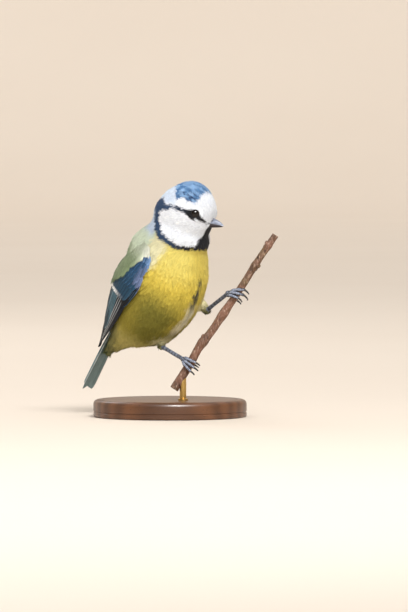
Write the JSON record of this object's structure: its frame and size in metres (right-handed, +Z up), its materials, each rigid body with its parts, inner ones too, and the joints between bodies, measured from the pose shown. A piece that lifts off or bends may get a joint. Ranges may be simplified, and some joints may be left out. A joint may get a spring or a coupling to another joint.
{
  "type": "bird figure",
  "caption": "Still life-size blue tit gripping a cut length of twig as its perch, on a plain round display stand with a short rod.",
  "frame": {"origin": "centre of the flat underside of the stand's round base", "axes": "+Z up, +X the way the bird looks in the picture, -Y towards the side the picture is taken from"},
  "size_m": [0.0897, 0.07, 0.1074],
  "materials": {
    "head_plumage": "soft feathers, white with blue and black markings",
    "collar_plumage": "soft feathers, blue-black",
    "body_plumage": "soft feathers, yellow below and grey-green above",
    "wing_feathers": "smooth vanes, cobalt and slate blue",
    "tail_feathers": "smooth vanes, blue-grey",
    "bill_horn": "dark horn, satin",
    "eye_gloss": "polished, near black",
    "leg_skin": "scaled slate-blue skin, satin",
    "claw_horn": "dark horn, satin",
    "twig_bark": "reddish-brown bark, dull",
    "stand_wood": "dark, satin",
    "stand_brass": "satin"
  },
  "bodies": {
    "root": {"head": "head_plumage", "neck": "collar_plumage", "torso": "body_plumage", "thigh_left": "body_plumage", "thigh_right": "body_plumage", "wing_left": "wing_feathers", "wing_right": "wing_feathers", "tail": "tail_feathers", "bill_upper": "bill_horn", "bill_lower": "bill_horn", "eye_left": "eye_gloss", "eye_right": "eye_gloss", "tarsus_left": "leg_skin", "tarsus_right": "leg_skin", "foot_left": "leg_skin", "foot_right": "leg_skin", "claw_left_inner": "claw_horn", "claw_left_middle": "claw_horn", "claw_left_outer": "claw_horn", "claw_left_hind": "claw_horn", "claw_right_inner": "claw_horn", "claw_right_middle": "claw_horn", "claw_right_outer": "claw_horn", "claw_right_hind": "claw_horn", "perch": "twig_bark", "stand_base": "stand_wood", "stand_rod": "stand_brass"}
  },
  "joints": []
}
